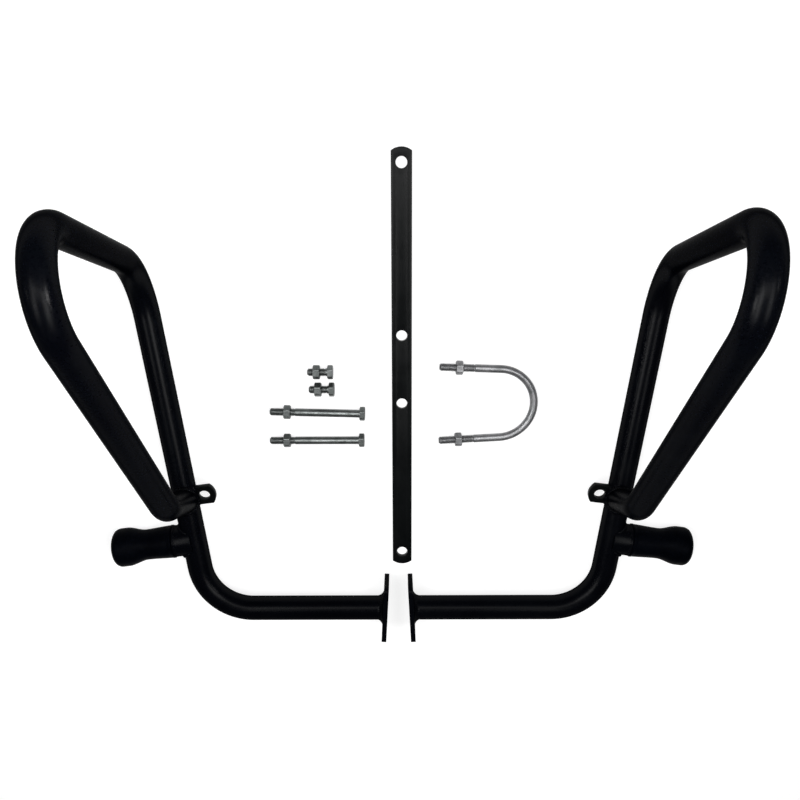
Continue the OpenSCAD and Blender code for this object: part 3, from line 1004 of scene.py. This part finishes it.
def legFrame(end):  # z runs from the bow to the leg's end
    turn = Matrix.Rotation(math.radians(-end * uBolt["splay"]), 4, "Z")
    return turn @ Matrix.Translation((0, end * uBolt["bowR"], 0)) @ Matrix.Rotation(math.radians(-90), 4, "Y")


def uBoltRoute():  # points along one leg, round the bow and back, and the radius at each
    root, plain, top = thread["rootR"], rod["radius"], uBolt["leg"] - uBolt["threadL"]
    profile = [(uBolt["leg"] + z, root + r) for r, z in reversed(thread["point"])]
    profile += [(top + thread["leadIn"], root), (top, plain)]
    profile += [(top * k / 4, plain) for k in (3, 2, 1)]
    half = math.radians(90 - uBolt["splay"])
    points = [legFrame(1) @ Vector((0, 0, along)) for along, radius in profile]
    for k in range(uBolt["bowSteps"] + 1):
        turn = Matrix.Rotation(half - 2 * half * k / uBolt["bowSteps"], 4, "Z")
        points.append(turn @ Vector((uBolt["bowR"], 0, 0)))
    points += [legFrame(-1) @ Vector((0, 0, along)) for along, radius in reversed(profile)]
    radii = [radius for along, radius in profile]
    return points, radii + [plain] * (uBolt["bowSteps"] + 1) + radii[::-1]


def makeUBolt():
    bm = bmesh.new()
    legs = [legFrame(1), legFrame(-1)]  # upper and lower
    points, radii = uBoltRoute()
    stations = [s @ Matrix.Scale(r / rod["radius"], 4) for s, r in zip(routeThrough(points), radii)]
    sweep(bm, stations, rod["radius"] - rod["ease"], uBolt["segments"])
    for lay in legs:
        ridge = bmesh.new()
        addThread(ridge, uBolt["leg"] - uBolt["threadL"], uBolt["leg"] - thread["endGap"])
        bmesh.ops.transform(ridge, matrix=lay, verts=ridge.verts[:])
        holder = bpy.data.meshes.new("ridge")
        ridge.to_mesh(holder)
        ridge.free()
        bm.from_mesh(holder)
        bpy.data.meshes.remove(holder)
    markRoots(bm, legs)
    finishPiece("uBolt", bm, "newZinc", "u_bolt", uBoltFrame(), sharp=28, also=["newRootShade"])
    for lay, word in zip(legs, ("Upper", "Lower")):
        bm = bmesh.new()
        addNut(bm, uBolt["leg"] - uBolt["nutSetback"])
        node = "u_bolt_" + word.lower() + "_nut"
        finishPiece("uBolt" + word + "Nut", bm, "newZinc", node, uBoltFrame() @ lay, sharp=28)


makeUBolt()
print("U-bolt made")

# Floor, world and lamps

studio = {
    "floorSize": 12.0,
    "floorLit": 0.40,  # the floor's own colour
    "floorGlow": (0.80, 1.0),
    "glowReach": (0.5, 2.0),  # and how far out the two lie
    "mirrored": 0.5,  # share of that glow in what is mirrored
    "sky": 0.10,
}


def makeFloor():
    bm = bmesh.new()
    bmesh.ops.create_grid(bm, x_segments=1, y_segments=1, size=studio["floorSize"] / 2)
    mesh = bpy.data.meshes.new("floor")
    bm.to_mesh(mesh)
    bm.free()
    floor = placeObject("floor", mesh)
    mat = bpy.data.materials.new("floor")
    tree = emptyTree(mat)
    out = tree.nodes.new("ShaderNodeOutputMaterial")
    grey = studio["floorLit"]
    diffuse = addNode(tree, "ShaderNodeBsdfDiffuse", Color=(grey, grey, grey, 1))
    glow = addNode(tree, "ShaderNodeEmission", Color=(1, 1, 1, 1))
    both = tree.nodes.new("ShaderNodeAddShader")
    path = tree.nodes.new("ShaderNodeLightPath")
    mirrored = addNode(tree, "ShaderNodeMath", operation="MULTIPLY")
    mirrored.inputs[1].default_value = studio["mirrored"]
    seen = addNode(tree, "ShaderNodeMath", operation="MAXIMUM")
    either = addNode(tree, "ShaderNodeMath", operation="MAXIMUM")
    strength = addNode(tree, "ShaderNodeMath", operation="MULTIPLY")
    spot = tree.nodes.new("ShaderNodeTexCoord")
    away = addNode(tree, "ShaderNodeVectorMath", operation="LENGTH")
    tree.links.new(spot.outputs["Object"], away.inputs[0])
    level = rampOver(tree, away.outputs["Value"], *studio["glowReach"], *studio["floorGlow"])
    tree.links.new(path.outputs["Is Glossy Ray"], mirrored.inputs[0])
    tree.links.new(path.outputs["Is Camera Ray"], seen.inputs[0])
    tree.links.new(mirrored.outputs[0], seen.inputs[1])
    tree.links.new(seen.outputs[0], either.inputs[0])
    tree.links.new(path.outputs["Is Transmission Ray"], either.inputs[1])
    tree.links.new(either.outputs[0], strength.inputs[0])
    tree.links.new(level, strength.inputs[1])
    tree.links.new(strength.outputs[0], glow.inputs["Strength"])
    tree.links.new(diffuse.outputs[0], both.inputs[0])
    tree.links.new(glow.outputs[0], both.inputs[1])
    tree.links.new(both.outputs[0], out.inputs[0])
    mesh.materials.append(mat)


def makeWorld():
    world = bpy.data.worlds.new("studio")
    bpy.context.scene.world = world
    tree = emptyTree(world)
    out = tree.nodes.new("ShaderNodeOutputWorld")
    sky = addNode(tree, "ShaderNodeBackground", Color=(1, 1, 1, 1), Strength=studio["sky"])
    white = addNode(tree, "ShaderNodeBackground", Color=(1, 1, 1, 1), Strength=1.0)
    path = tree.nodes.new("ShaderNodeLightPath")
    mix = tree.nodes.new("ShaderNodeMixShader")
    tree.links.new(path.outputs["Is Camera Ray"], mix.inputs[0])
    tree.links.new(sky.outputs[0], mix.inputs[1])
    tree.links.new(white.outputs[0], mix.inputs[2])
    tree.links.new(mix.outputs[0], out.inputs[0])


lamps = {  # place, target, size, watts and spread; the last two light the crowns alone
    "topLamp": ((-0.05, 0.5, 1.5), (-0.05, 0, 0), (0.9, 0.3), 4.5, 180),
    "rightStrip": ((0.6, 0.12, 1.45), (-0.75, 0.1, 0.1), (1.0, 0.5), 4.5, 90),
    "leftStrip": ((-0.6, 0.2, 1.45), (0.75, 0.1, 0.1), (1.0, 0.5), 4.5, 90),
    "rightLamp": ((1.4, 0.6, 1.4), (-0.226, 0.12, 0.27), (0.5, 0.25), 0.3, 14),
    "leftLamp": ((-1.45, 0.25, 1.3), (0.226, 0.12, 0.27), (0.5, 0.25), 0.16, 14),
}


def softLamp(name, place, target, size, power, spread):
    data = bpy.data.lights.new(name, "AREA")
    data.shape = "RECTANGLE"
    data.size, data.size_y = size
    data.energy = power
    data.spread = math.radians(spread)
    lamp = placeObject(name, data)
    lamp.location = place
    aim = Vector(target) - Vector(place)
    lamp.rotation_euler = aim.to_track_quat("-Z", "Y").to_euler()


makeFloor()
makeWorld()
for name, values in lamps.items():
    softLamp(name, *values)
print("studio made")

bpy.context.scene.view_settings.view_transform = "Standard"
